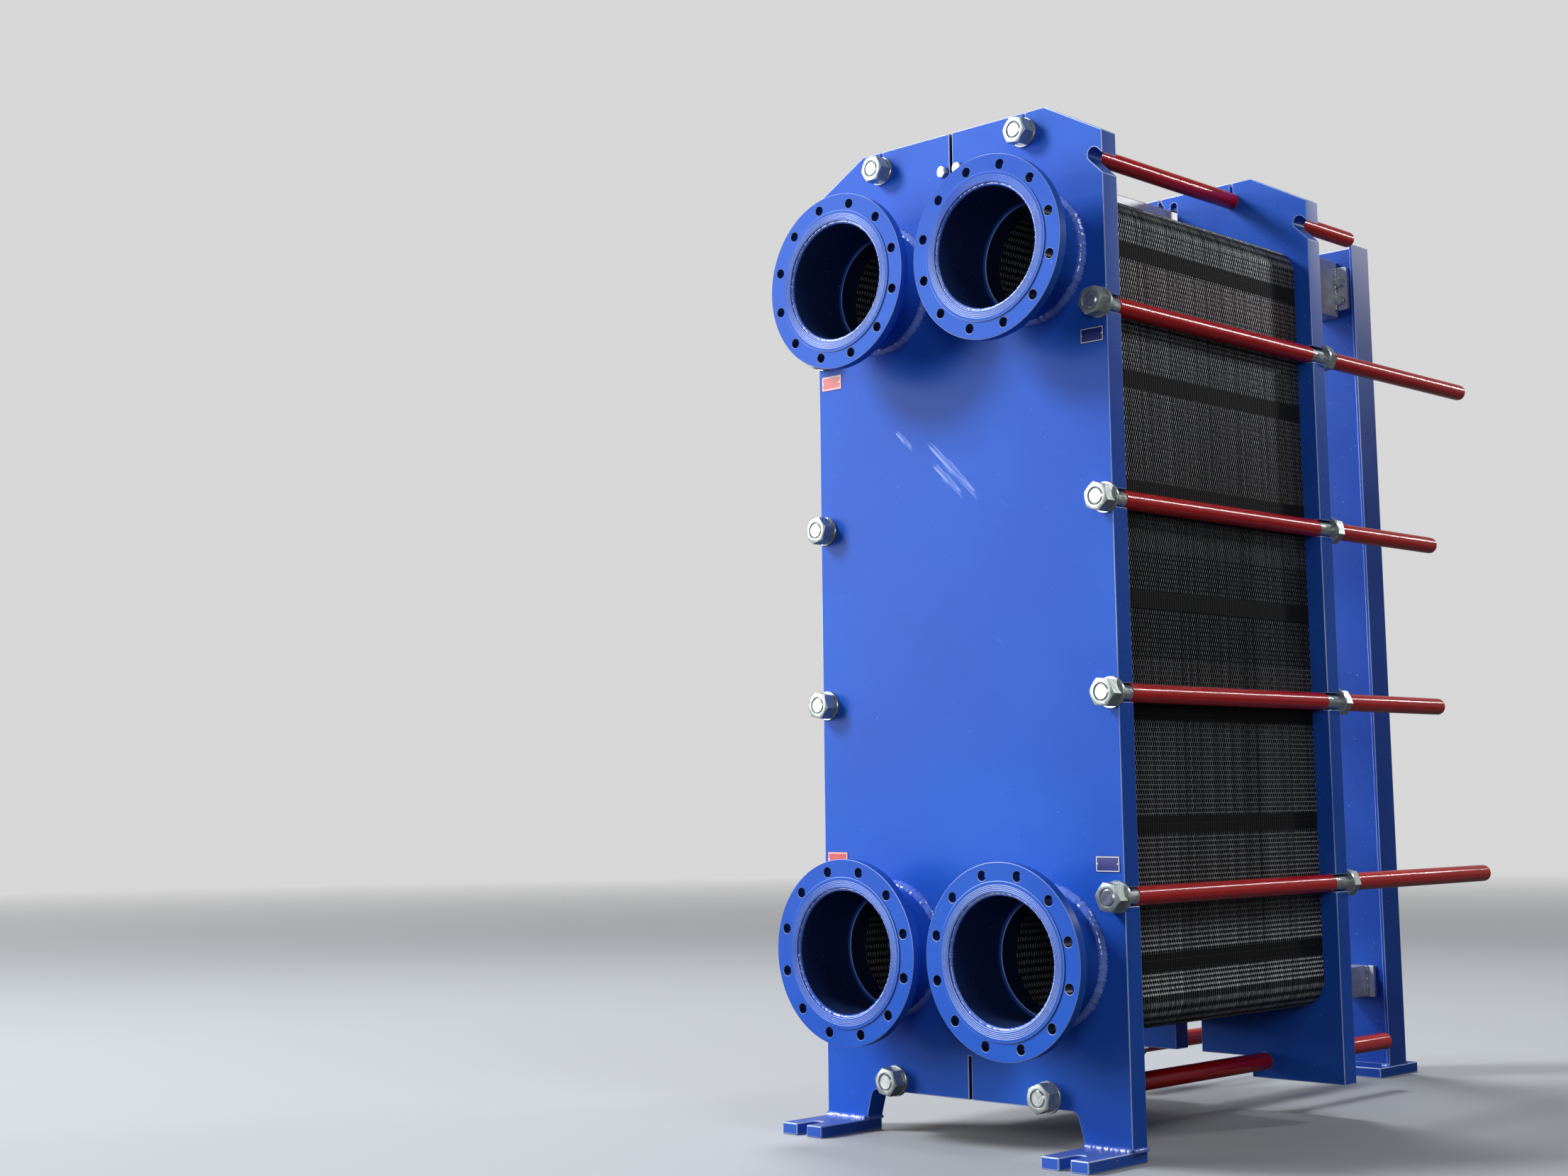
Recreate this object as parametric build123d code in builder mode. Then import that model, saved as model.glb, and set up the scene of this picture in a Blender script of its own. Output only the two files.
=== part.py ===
from build123d import *
import os

os.makedirs("parts", exist_ok=True)

# Millimetres. X is across the frame plate, Y runs from the frame plate back to the
# support column, Z is up and the floor is z = 0. The origin is on the floor, at the
# middle of the footprint.

# Frame plate and pressure plate
plate_thickness = 50
frame_height = 2193
shoulder_run = 149.5
shoulder_drop = 82
leg_width = 116
leg_slant = 19
leg_opening = 66
opening_radius = 18
kerf_width = 8
top_kerf_depth = 100
bottom_kerf_depth = 90
notch_radius = 15
notch_inset = 23
notch_drop = 131
notch_angle = -45

# Pressure plate only
follower_bottom = 76
follower_opening = 47
follower_opening_width = 344
follower_slot_width = 72
hanger_hole_diameter = 24
hanger_hole_drop = 26
relief_width = 18
relief_drop = 15.5
relief_inset = 1
slide_gap = 0.3

# Ports and nozzles
flange_side_gap = 35
port_end_gap = 280.5
port_hole = 245
pipe_outer = 273
pipe_wall = 6
pipe_set_back = 8
nozzle_reach = 158
flange_outer = 395
flange_thickness = 26
flange_pipe_gap = 0.3
raised_face = 320
raised_height = 3
bolt_circle = 350
bolt_hole = 22
bolt_count = 12

# Plate pack
pack_depth = 760
pack_side_margin = 156
pack_corner = 65
sheet_pitch = 4.1
edge_depth = 9
corner_angles = (0, 45, 90)
channel_diameter = 250
channel_sides = 32
guide_notch_depth = 32
guide_notch_gap = 1
clip_height = 30
clip_thickness = 1
clip_spacing = 234.5
clip_port_offset = 14

# Tie bolts. The small round pieces that repeat are drawn with this many sides
round_sides = 12
rod_diameter = 36
rod_hole_gap = 1
thread_gap = 0.2
nut_across_flats = 55
nut_height = 32
washer_diameter = 66
washer_thickness = 6
sleeve_outer = 40
sleeve_end_bevel = 12
sleeve_end_wall = 20
sleeve_gap = 0.3
sleeve_pack_gap = 4
end_bolt_offset = 8
end_bolt_drop = 45.5
end_bolt_floor = 114.5
side_bolt_inset = 17
outer_row_gap = 406.5
inner_row_spacing = 400
short_reach = 1365
long_reach = 1556

# Carrying bar, guide bar and support column
bar_width = 60
carrying_bar_drop = 33
carrying_bar_height = 156
guide_bar_height = 80
guide_bar_top = 275
column_face = 1601
column_width = 200
column_depth = 84
column_web = 8
column_flange = 9
base_width = 204
base_depth = 190
base_thickness = 25
lug_thickness = 12
lug_reach = 36
lug_height = 118
lug_corner = 8
lug_bolt_spacing = 50
lug_bolt_drop = 8
lug_bolt_inset = 20
guide_lug_reach = 20
screw_diameter = 16
screw_flats = 24
screw_head = 10
screw_gap = 0.3
screw_grip = 40
bar_screw_x = 22
bar_screw_spacing = 50
guide_screw_spacing = 40

# Feet
foot_thickness = 25
foot_reach = 146
foot_slot_width = 28
foot_slot_depth = 60

# Name plates
name_plate_width = 60
name_plate_height = 40
name_plate_thickness = 1
name_plate_edge = 10
name_plate_port_gap = 191

# Places that follow from the sizes above
overall_depth = foot_reach + column_face + column_web / 2 + base_depth / 2
front_y = foot_reach - overall_depth / 2
frame_back = front_y + plate_thickness
follower_front = frame_back + pack_depth
follower_back = follower_front + plate_thickness
web_y = front_y + column_face
column_middle = web_y + column_web / 2
bar_top = frame_height - carrying_bar_drop
bar_bottom = bar_top - carrying_bar_height
bar_middle = (bar_top + bar_bottom) / 2
guide_middle = guide_bar_top - guide_bar_height / 2
pack_bottom = guide_bar_top - guide_notch_depth
pack_height = bar_bottom - pack_bottom
port_x = (flange_outer + flange_side_gap) / 2
pack_width = 2 * (port_x + pack_side_margin)
side_bolt_x = pack_width / 2 + sleeve_pack_gap + sleeve_outer / 2
half_plate = side_bolt_x + side_bolt_inset
end_bolt_x = port_x - end_bolt_offset
port_middle_z = (frame_height - end_bolt_drop + end_bolt_floor) / 2
end_bolt_rise = port_middle_z - end_bolt_floor
outer_row_rise = end_bolt_rise - outer_row_gap
inner_row_rise = inner_row_spacing / 2
port_rise = end_bolt_rise - port_end_gap
end_clip_rise = port_rise + clip_port_offset
clip_rises = [0] + [s * rise for s in (1, -1) for rise in (clip_spacing, 2 * clip_spacing, end_clip_rise)]
leg_bottom = foot_thickness
rod_hole = rod_diameter + 2 * rod_hole_gap
screw_hole = screw_diameter + 2 * screw_gap
thread_hole = rod_diameter + 2 * thread_gap
front_nut_face = front_y - washer_thickness - nut_height
rear_nut_face = follower_back + washer_thickness + nut_height
port_points = {
    "upper_left": (-port_x, port_middle_z + port_rise),
    "upper_right": (port_x, port_middle_z + port_rise),
    "lower_left": (-port_x, port_middle_z - port_rise),
    "lower_right": (port_x, port_middle_z - port_rise),
}
end_bolts = [(x, port_middle_z + s * end_bolt_rise) for s in (1, -1) for x in (-end_bolt_x, end_bolt_x)]
row_rises = (outer_row_rise, inner_row_rise, -inner_row_rise, -outer_row_rise)
side_bolts = [(x, port_middle_z + rise) for rise in row_rises for x in (-side_bolt_x, side_bolt_x)]
tie_bolts = end_bolts + side_bolts
bar_screws = [
    (x, bar_middle + z)
    for z in (bar_screw_spacing / 2, -bar_screw_spacing / 2)
    for x in (-bar_screw_x, bar_screw_x)
]
guide_screws = [
    (0, guide_middle + guide_screw_spacing / 2),
    (0, guide_middle - guide_screw_spacing / 2),
]
lug_screws = [
    (side * (bar_width / 2 + lug_reach - lug_bolt_inset), bar_middle - lug_bolt_drop + z)
    for z in (lug_bolt_spacing / 2, -lug_bolt_spacing / 2)
    for side in (-1, 1)
]


def front_plane(y):
    """The upright plane at depth y, drawn with X to the right and Z up, facing the front."""
    return Plane.XZ.offset(-y)


def round_section(diameter, mode=Mode.ADD):
    """The many-sided section of a rod, washer, sleeve or small hole."""
    RegularPolygon(diameter / 2, round_sides, mode=mode)


def save(piece, name):
    piece.part.label = name
    export_step(piece.part, f"parts/{name}.step")


def mirrored(points):
    """Closes a right-hand run of outline points with its mirror image about the centre line."""
    return points + [(-x, z) for x, z in reversed(points)]


def cut_bolt_openings():
    """Round holes for the top and bottom tie bolts, side slots for the rest, and the two
    slanting lifting notches under the shoulders."""
    with Locations(*end_bolts):
        Circle(rod_hole / 2, mode=Mode.SUBTRACT)
    for x, z in side_bolts:
        side = 1 if x > 0 else -1
        with Locations((x + side * rod_hole, z)):
            SlotCenterToCenter(2 * rod_hole, rod_hole, mode=Mode.SUBTRACT)
    notch_length = 4 * notch_radius
    for side in (1, -1):
        start = Vector(side * (half_plate - notch_inset), frame_height - notch_drop)
        middle = start + Vector(side * notch_length / 2, 0).rotate(Axis.Z, side * notch_angle)
        with Locations((middle.X, middle.Y)):
            SlotCenterToCenter(
                notch_length, 2 * notch_radius, rotation=side * notch_angle, mode=Mode.SUBTRACT
            )


def cut_kerf(x, z, depth):
    """A straight flame-cut kerf down from height z."""
    with Locations((x, z)):
        Rectangle(kerf_width, depth, align=(Align.CENTER, Align.MAX), mode=Mode.SUBTRACT)


# The frame plate is one thick flame-cut plate with its two legs left on
shoulder_z = frame_height - shoulder_drop
opening_z = leg_bottom + leg_opening
opening_half = half_plate - leg_width - leg_slant
frame_outline = [
    (half_plate - shoulder_run, frame_height),
    (half_plate, shoulder_z),
    (half_plate, leg_bottom),
    (half_plate - leg_width, leg_bottom),
    (opening_half, opening_z),
]
with BuildPart() as frame_plate:
    with BuildSketch(front_plane(front_y)) as frame_sketch:
        with BuildLine():
            Polyline(*mirrored(frame_outline), close=True)
        make_face()
        fillet(
            frame_sketch.vertices().filter_by(
                lambda v: abs(abs(v.X) - opening_half) < 1 and abs(v.Y - opening_z) < 1
            ),
            opening_radius,
        )
        with Locations(*port_points.values()):
            Circle(port_hole / 2, mode=Mode.SUBTRACT)
        cut_bolt_openings()
        cut_kerf(0, frame_height, top_kerf_depth)
        for x in (-end_bolt_x, end_bolt_x):
            cut_kerf(x, frame_height, frame_height - port_middle_z - end_bolt_rise)
        cut_kerf(0, opening_z + bottom_kerf_depth, bottom_kerf_depth)
        with Locations(*bar_screws, *guide_screws):
            round_section(screw_hole, Mode.SUBTRACT)
    extrude(amount=-plate_thickness)
save(frame_plate, "frame_plate")


# The pressure plate is cut like the frame plate, but it stops short of the floor. Its
# middle hangs on the carrying bar and its foot straddles the guide bar
follower_opening_z = follower_bottom + follower_opening
follower_outline = [
    (half_plate - shoulder_run, frame_height),
    (half_plate, shoulder_z),
    (half_plate, follower_bottom),
    (follower_opening_width / 2, follower_bottom),
    (follower_opening_width / 2, follower_opening_z),
]
relief_x = bar_width / 2 + relief_inset + relief_width / 2
relief_top = frame_height - relief_drop
with BuildPart() as pressure_plate:
    with BuildSketch(front_plane(follower_front)):
        with BuildLine():
            Polyline(*mirrored(follower_outline), close=True)
        make_face()
        cut_bolt_openings()
        cut_kerf(0, frame_height, hanger_hole_drop)
        for x in (-end_bolt_x, end_bolt_x):
            cut_kerf(x, frame_height, frame_height - port_middle_z - end_bolt_rise)
        with Locations((0, frame_height - hanger_hole_drop)):
            Circle(hanger_hole_diameter / 2, mode=Mode.SUBTRACT)
        with Locations((0, bar_top + slide_gap)):
            Rectangle(
                2 * relief_x + relief_width,
                carrying_bar_height + 2 * slide_gap,
                align=(Align.CENTER, Align.MAX),
                mode=Mode.SUBTRACT,
            )
        for side in (-1, 1):
            with Locations((side * relief_x, relief_top - relief_width / 2)):
                Circle(relief_width / 2, mode=Mode.SUBTRACT)
            with Locations((side * relief_x, relief_top - relief_width / 2)):
                Rectangle(
                    relief_width,
                    relief_top - relief_width / 2 - bar_middle,
                    align=(Align.CENTER, Align.MAX),
                    mode=Mode.SUBTRACT,
                )
        with Locations((0, follower_opening_z)):
            Rectangle(
                follower_slot_width,
                guide_bar_top + slide_gap - follower_opening_z,
                align=(Align.CENTER, Align.MIN),
                mode=Mode.SUBTRACT,
            )
    extrude(amount=-plate_thickness)
save(pressure_plate, "pressure_plate")

# Two foot plates lie under the legs, each with an open slot for an anchor bolt
foot_front = front_y - foot_reach
foot_length = frame_back - foot_front
for side, name in ((-1, "foot_left"), (1, "foot_right")):
    foot_x = side * (half_plate - leg_width / 2)
    with BuildPart() as foot:
        with BuildSketch(Plane.XY):
            with Locations((foot_x, foot_front)):
                Rectangle(leg_width, foot_length, align=(Align.CENTER, Align.MIN))
            with Locations((foot_x, foot_front + foot_slot_depth - foot_slot_width / 2)):
                Circle(foot_slot_width / 2, mode=Mode.SUBTRACT)
                Rectangle(
                    foot_slot_width,
                    foot_slot_depth,
                    align=(Align.CENTER, Align.MAX),
                    mode=Mode.SUBTRACT,
                )
        extrude(amount=foot_thickness)
    save(foot, name)

# Each nozzle is a pipe stub welded to the frame plate with a slip-on flange over its end
pipe_front = front_y - nozzle_reach + pipe_set_back
for port, (x, z) in port_points.items():
    with BuildPart() as pipe:
        with BuildSketch(front_plane(pipe_front)):
            with Locations((x, z)):
                Circle(pipe_outer / 2)
                Circle(pipe_outer / 2 - pipe_wall, mode=Mode.SUBTRACT)
        extrude(amount=-(front_y - pipe_front))
    save(pipe, f"pipe_{port}")

face_radius = raised_face / 2
flange_bore = pipe_outer / 2 + flange_pipe_gap
for port, (x, z) in port_points.items():
    axis_plane = Plane((x, front_y - nozzle_reach, z), x_dir=(1, 0, 0), z_dir=(0, 0, 1))
    with BuildPart() as flange:
        with BuildSketch(axis_plane):
            with BuildLine():
                Polyline(
                    (flange_bore, 0),
                    (face_radius, 0),
                    (face_radius, raised_height),
                    (flange_outer / 2, raised_height),
                    (flange_outer / 2, flange_thickness),
                    (flange_bore, flange_thickness),
                    close=True,
                )
            make_face()
        revolve(axis=Axis((x, 0, z), (0, 1, 0)))
        with BuildSketch(Plane((x, front_y - nozzle_reach, z), x_dir=(1, 0, 0), z_dir=(0, -1, 0))):
            with PolarLocations(bolt_circle / 2, bolt_count, start_angle=180 / bolt_count):
                Circle(bolt_hole / 2)
        extrude(amount=-flange_thickness, mode=Mode.SUBTRACT)
    save(flange, f"flange_{port}")

# The plate pack: thin pressed sheets whose edges meet in pairs, so each pair stands out as
# one ridge all round. The pack straddles the guide bar, and four port channels run back
# through it to the pressure plate
pair_count = round(pack_depth / (2 * sheet_pitch))
half_pair = pack_depth / (2 * pair_count)
notch_x = bar_width / 2 + guide_notch_gap
notch_z = guide_bar_top + slide_gap


def sheet_outline(inset):
    """The outline of the pressed sheets, its round corners drawn as short straight runs."""
    middle = pack_bottom + pack_height / 2
    half_width = pack_width / 2 - pack_corner
    half_height = pack_height / 2 - pack_corner
    radius = pack_corner - inset
    corner = [Vector(radius, 0).rotate(Axis.Z, angle) for angle in corner_angles]
    upper = [(half_width + p.X, middle + half_height + p.Y) for p in corner]
    lower = [(x, 2 * middle - z) for x, z in reversed(upper)]
    notch = [(notch_x, notch_z), (notch_x, middle - half_height - radius)]
    return mirrored(notch + lower + upper)


with BuildPart() as plate_pack:
    for number in range(2 * pair_count + 1):
        with BuildSketch(front_plane(frame_back + number * half_pair)):
            with BuildLine():
                Polyline(*sheet_outline(0 if number % 2 else edge_depth), close=True)
            make_face()
    loft(ruled=True)
    with BuildSketch(front_plane(frame_back)):
        with Locations(*port_points.values()):
            RegularPolygon(channel_diameter / 2, channel_sides)
    extrude(amount=-pack_depth, mode=Mode.SUBTRACT)
save(plate_pack, "plate_pack")

# Rubber gasket clips run along both sides of the pack as seven bands over the sheet edges
with BuildPart() as gasket_clips:
    with BuildSketch(front_plane(frame_back)):
        for side in (-1, 1):
            for rise in clip_rises:
                with Locations((side * (pack_width + clip_thickness) / 2, port_middle_z + rise)):
                    Rectangle(clip_thickness, clip_height)
    extrude(amount=-pack_depth)
save(gasket_clips, "gasket_clips")

# Twelve tie bolts: threaded rods with a nut and washer at each end. The outermost side
# ones are long, so that the plates can be drawn together from their opened width
long_bolts = [(x, z) for x, z in side_bolts if abs(z - port_middle_z) > inner_row_rise]
short_bolts = [point for point in tie_bolts if point not in long_bolts]


def rod_end(point):
    """Depth of a rod's rear end, which its capped sleeve hides."""
    reach = long_reach if point in long_bolts else short_reach
    return front_y + reach - sleeve_end_wall


for number, point in enumerate(tie_bolts, start=1):
    with BuildPart() as tie_rod:
        with BuildSketch(front_plane(front_nut_face)):
            with Locations(point):
                round_section(rod_diameter)
        extrude(amount=-(rod_end(point) - front_nut_face))
    save(tie_rod, f"tie_rod_{number:02d}")

# Nuts and washers, front and rear
for y, name in ((front_y - washer_thickness, "washers_front"), (follower_back, "washers_rear")):
    with BuildPart() as washers:
        with BuildSketch(front_plane(y)):
            with Locations(*tie_bolts):
                round_section(washer_diameter)
                round_section(thread_hole, Mode.SUBTRACT)
        extrude(amount=-washer_thickness)
    save(washers, name)

nut_faces = ((front_nut_face, "nuts_front"), (rear_nut_face - nut_height, "nuts_rear"))
for y, name in nut_faces:
    with BuildPart() as nuts:
        with BuildSketch(front_plane(y)):
            with Locations(*tie_bolts):
                RegularPolygon(nut_across_flats / 2, 6, major_radius=False, rotation=30)
                round_section(thread_hole, Mode.SUBTRACT)
        extrude(amount=-nut_height)
    save(nuts, name)

# Plastic sleeves cover the rods between the two plates
with BuildPart() as rod_sleeves:
    with BuildSketch(front_plane(frame_back + sleeve_gap)):
        with Locations(*tie_bolts):
            round_section(sleeve_outer)
            round_section(thread_hole, Mode.SUBTRACT)
    extrude(amount=-(pack_depth - 2 * sleeve_gap))
save(rod_sleeves, "rod_sleeves")

# Sleeves with a closed and bevelled end cover the rods behind the rear nuts
for points, name in ((long_bolts, "end_sleeves_long"), (short_bolts, "end_sleeves_short")):
    rods_end = rod_end(points[0])
    sleeves_end = rods_end + sleeve_end_wall
    with BuildPart() as end_sleeves:
        with BuildSketch(front_plane(rear_nut_face)):
            with Locations(*points):
                round_section(sleeve_outer)
        extrude(amount=-(sleeves_end - rear_nut_face))
        with BuildSketch(front_plane(rear_nut_face)):
            with Locations(*points):
                round_section(thread_hole)
        extrude(amount=-(rods_end - rear_nut_face), mode=Mode.SUBTRACT)
        chamfer(end_sleeves.faces().group_by(Axis.Y)[-1].edges(), sleeve_end_bevel)
    save(end_sleeves, name)

# The carrying bar and the guide bar run from the frame plate to the column's web
bar_length = web_y - frame_back
for middle, height, screws, name in (
    (bar_middle, carrying_bar_height, bar_screws, "carrying_bar"),
    (guide_middle, guide_bar_height, guide_screws, "guide_bar"),
):
    with BuildPart() as bar:
        with BuildSketch(front_plane(frame_back)):
            with Locations((0, middle)):
                Rectangle(bar_width, height)
        extrude(amount=-bar_length)
        with BuildSketch(front_plane(frame_back)):
            with Locations(*screws):
                round_section(screw_hole)
        extrude(amount=-screw_grip, mode=Mode.SUBTRACT)
    save(bar, name)

# Two lugs welded to the sides of the carrying bar's end take its screws to the column, and
# two smaller ones stand at the guide bar's end
with BuildPart() as bar_lugs:
    with BuildSketch(front_plane(web_y - lug_thickness)) as lug_sketch:
        for side in (-1, 1):
            with Locations((side * (bar_width + lug_reach) / 2, bar_middle)):
                Rectangle(lug_reach, lug_height)
        fillet(
            lug_sketch.vertices().filter_by(lambda v: abs(v.X) > (bar_width + lug_reach) / 2),
            lug_corner,
        )
        for side in (-1, 1):
            with Locations((side * (bar_width + guide_lug_reach) / 2, guide_middle)):
                Rectangle(guide_lug_reach, guide_bar_height)
        with Locations(*lug_screws):
            round_section(screw_hole, Mode.SUBTRACT)
    extrude(amount=-lug_thickness)
save(bar_lugs, "bar_lugs")

# The support column is a rolled beam on a base plate, its web square to the bars
with BuildPart() as support_column:
    with BuildSketch(Plane.XY.offset(base_thickness)):
        with Locations((0, column_middle)):
            Rectangle(column_width, column_depth)
        for side in (-1, 1):
            with Locations((0, column_middle + side * (column_web + column_depth) / 4)):
                Rectangle(
                    column_width - 2 * column_flange,
                    (column_depth - column_web) / 2,
                    mode=Mode.SUBTRACT,
                )
    extrude(amount=frame_height - base_thickness)
    with BuildSketch(front_plane(web_y)):
        with Locations(*lug_screws):
            round_section(screw_hole)
    extrude(amount=-column_web, mode=Mode.SUBTRACT)
save(support_column, "support_column")

with BuildPart() as column_base:
    with BuildSketch(Plane.XY):
        with Locations((0, column_middle)):
            Rectangle(base_width, base_depth)
    extrude(amount=base_thickness)
save(column_base, "column_base")

# Hexagon screws hold the bars to the frame plate and the lugs to the column
for points, face, grip, name in (
    (bar_screws + guide_screws, front_y, plate_thickness + screw_grip, "frame_screws"),
    (lug_screws, web_y - lug_thickness, lug_thickness + column_web, "lug_screws"),
):
    with BuildPart() as screws:
        with BuildSketch(front_plane(face - screw_head)):
            with Locations(*points):
                RegularPolygon(screw_flats / 2, 6, major_radius=False, rotation=30)
        extrude(amount=-screw_head)
        with BuildSketch(front_plane(face)):
            with Locations(*points):
                round_section(screw_diameter)
        extrude(amount=-grip)
    save(screws, name)

# Four small bare plates on the frame plate's face, one beside each port
name_plate_rise = port_rise - name_plate_port_gap
with BuildPart() as name_plates:
    with BuildSketch(front_plane(front_y - name_plate_thickness)):
        for side in (-1, 1):
            for rise in (-name_plate_rise, name_plate_rise):
                x = side * (half_plate - name_plate_edge - name_plate_width / 2)
                with Locations((x, port_middle_z + rise)):
                    Rectangle(name_plate_width, name_plate_height)
    extrude(amount=-name_plate_thickness)
save(name_plates, "name_plates")
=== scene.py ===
import math
import random
import bpy
from mathutils import Matrix, Vector


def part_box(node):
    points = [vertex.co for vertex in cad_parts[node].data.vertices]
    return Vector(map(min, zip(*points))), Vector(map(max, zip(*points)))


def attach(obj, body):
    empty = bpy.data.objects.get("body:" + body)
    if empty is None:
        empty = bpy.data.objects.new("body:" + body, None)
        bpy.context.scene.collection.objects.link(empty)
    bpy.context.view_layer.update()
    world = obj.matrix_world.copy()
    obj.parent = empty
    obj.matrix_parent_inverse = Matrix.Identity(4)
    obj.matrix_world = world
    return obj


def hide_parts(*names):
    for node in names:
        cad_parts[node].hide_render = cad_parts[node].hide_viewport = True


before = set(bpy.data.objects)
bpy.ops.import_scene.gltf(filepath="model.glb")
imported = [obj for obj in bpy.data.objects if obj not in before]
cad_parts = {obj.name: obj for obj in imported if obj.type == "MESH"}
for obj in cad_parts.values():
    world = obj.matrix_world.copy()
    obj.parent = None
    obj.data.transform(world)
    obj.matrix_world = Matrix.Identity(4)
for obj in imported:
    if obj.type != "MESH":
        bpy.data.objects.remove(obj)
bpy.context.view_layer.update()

mm = 0.001


# Frame plate and pressure plate. Thick steel plates, flame cut with their legs, bolt slots
# and kerfs, then sprayed with royal blue machine enamel: satin, with a faint orange peel and
# dust caught in the paint. A sling left a few dry scuffs on the front one.
def linear(code):
    """An sRGB hex value as a linear colour."""
    parts = [int(code[i:i + 2], 16) / 255 for i in (1, 3, 5)]
    return [c / 12.92 if c <= 0.04045 else ((c + 0.055) / 1.055) ** 2.4 for c in parts] + [1]


def set_inputs(material, node, inputs):
    """Joins or sets some of a node's inputs."""
    for name, value in inputs.items():
        if isinstance(value, bpy.types.NodeSocket):
            material.node_tree.links.new(value, node.inputs[name])
        else:
            node.inputs[name].default_value = value


def add_node(material, kind, inputs=None, **settings):
    """Adds a node with its settings and inputs."""
    added = material.node_tree.nodes.new("ShaderNode" + kind)
    for name, value in settings.items():
        setattr(added, name, value)
    set_inputs(material, added, inputs or {})
    return added


def new_finish(name):
    """An empty material."""
    material = bpy.data.materials.new(name)
    material.use_nodes = True
    return material


def surface(material, inputs):
    """Joins or sets some inputs of a finish's main shader."""
    set_inputs(material, material.node_tree.nodes["Principled BSDF"], inputs)


def lay_over(material, strength, code):
    """Lays a colour over a finish's own, as strongly as a pattern says."""
    under = material.node_tree.nodes["Principled BSDF"].inputs["Base Color"].links[0].from_socket
    laid = add_node(material, "Mix", {0: strength, 6: under, 7: linear(code)}, data_type="RGBA")
    surface(material, {"Base Color": laid.outputs[2]})


def clouded(name, dark, light, cloud_size, detail, roughness, metallic=0):
    """A finish that clouds between two colours, in patches of about a size."""
    material = new_finish(name)
    place = add_node(material, "TexCoord").outputs["Object"]
    cloud = add_node(material, "TexNoise", {"Vector": place, "Scale": 1 / cloud_size,
                                            "Detail": detail})
    tint = add_node(material, "Mix", {0: cloud.outputs[0], 6: linear(dark), 7: linear(light)},
                    data_type="RGBA")
    surface(material, {"Base Color": tint.outputs[2], "Roughness": roughness,
                       "Metallic": metallic})
    return material


def enamel(name, body, thin, roughness, shine):
    """Sprayed machine enamel, with clouds where the coat is thin. Its dust specks and orange
    peel are drawn coarser than real, or they wouldn't show."""
    cloud_size, dust_size, peel_size = 420 * mm, 7 * mm, 3.4 * mm
    material = new_finish(name)
    place = add_node(material, "TexCoord").outputs["Object"]
    cloud = add_node(material, "TexNoise", {"Vector": place, "Scale": 1 / cloud_size, "Detail": 3})
    shade = add_node(material, "MapRange", {0: cloud.outputs[0], 1: 0.3, 2: 0.7, 3: 0, 4: 1})
    coat = add_node(material, "Mix", {0: shade.outputs[0], 6: linear(body), 7: linear(thin)},
                    data_type="RGBA")
    gloss = add_node(material, "MapRange", {0: cloud.outputs[0], 1: 0.3, 2: 0.7,
                                            3: roughness - 0.03, 4: roughness + 0.05})
    peel = add_node(material, "TexNoise", {"Vector": place, "Scale": 1 / peel_size, "Detail": 2})
    bump = add_node(material, "Bump", {"Height": peel.outputs[0], "Strength": 0.3,
                                       "Distance": 0.2 * mm})
    surface(material, {"Base Color": coat.outputs[2], "Roughness": gloss.outputs[0],
                       "Specular IOR Level": shine, "Normal": bump.outputs[0]})
    dust = add_node(material, "TexNoise", {"Vector": place, "Scale": 1 / dust_size, "Detail": 4})
    specks = add_node(material, "MapRange", {0: dust.outputs[0], 1: 0.7, 2: 0.76, 3: 0, 4: 0.5})
    lay_over(material, specks.outputs[0], "#A9BCE6")
    return material


def select_only(piece):
    """Makes one piece the only selected and active one."""
    bpy.ops.object.select_all(action="DESELECT")
    piece.select_set(True)
    bpy.context.view_layer.objects.active = piece


def apply_modifier(piece, kind, **settings):
    """Adds a modifier, sets it and applies it."""
    modifier = piece.modifiers.new(kind.lower(), kind)
    for name, value in settings.items():
        setattr(modifier, name, value)
    select_only(piece)
    bpy.ops.object.modifier_apply(modifier=modifier.name)


def smooth(piece, angle=30):
    """Shades a piece smooth, apart from edges sharper than an angle."""
    select_only(piece)
    bpy.ops.object.shade_smooth_by_angle(angle=math.radians(angle))


def ease_edges(piece, width, segments=2, material=0):
    """Rounds a piece's sharp edges and keeps its flat faces flat to the light."""
    apply_modifier(piece, "BEVEL", width=width, segments=segments, limit_method="ANGLE",
                   angle_limit=math.radians(35), use_clamp_overlap=False, material=material)
    smooth(piece, 40)
    apply_modifier(piece, "WEIGHTED_NORMAL", keep_sharp=True)


def carried_over(node_name):
    """A copy of a CAD node's shape, its loose triangles merged and its flat faces joined."""
    piece = bpy.data.objects.new(node_name + "_shape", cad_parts[node_name].data.copy())
    piece.data.materials.clear()
    bpy.context.scene.collection.objects.link(piece)
    select_only(piece)
    bpy.ops.object.mode_set(mode="EDIT")
    bpy.ops.mesh.select_all(action="SELECT")
    bpy.ops.mesh.remove_doubles(threshold=0.02 * mm)
    bpy.ops.mesh.dissolve_limited(angle_limit=math.radians(0.5))
    bpy.ops.object.mode_set(mode="OBJECT")
    return piece


def add_finishes(piece, *finishes):
    """Adds finishes to a piece, whose faces take the first until they are given another."""
    for finish in finishes:
        piece.data.materials.append(finish)


def finished(piece, name, finish, slot, *nodes):
    """Gives a finished piece its name, place, finish and body."""
    select_only(piece)
    bpy.ops.object.transform_apply(location=True, rotation=True, scale=True)
    piece.name = name
    if finish:
        piece.data.materials.clear()
        piece.data.materials.append(finish)
    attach(piece, "root")
    if nodes:
        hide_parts(*nodes)


blue_enamel = enamel("royal_blue_enamel", "#2052BC", "#2A61C9", 0.32, 0.08)
# Every edge is drawn in pale glossy enamel, a painted highlight for the light that the edges
# catch.
edge_highlight_enamel = enamel("royal_blue_enamel_with_painted_edge_highlight", "#5B82DC", "#D5DFF6", 0.25, 0.7)
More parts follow.
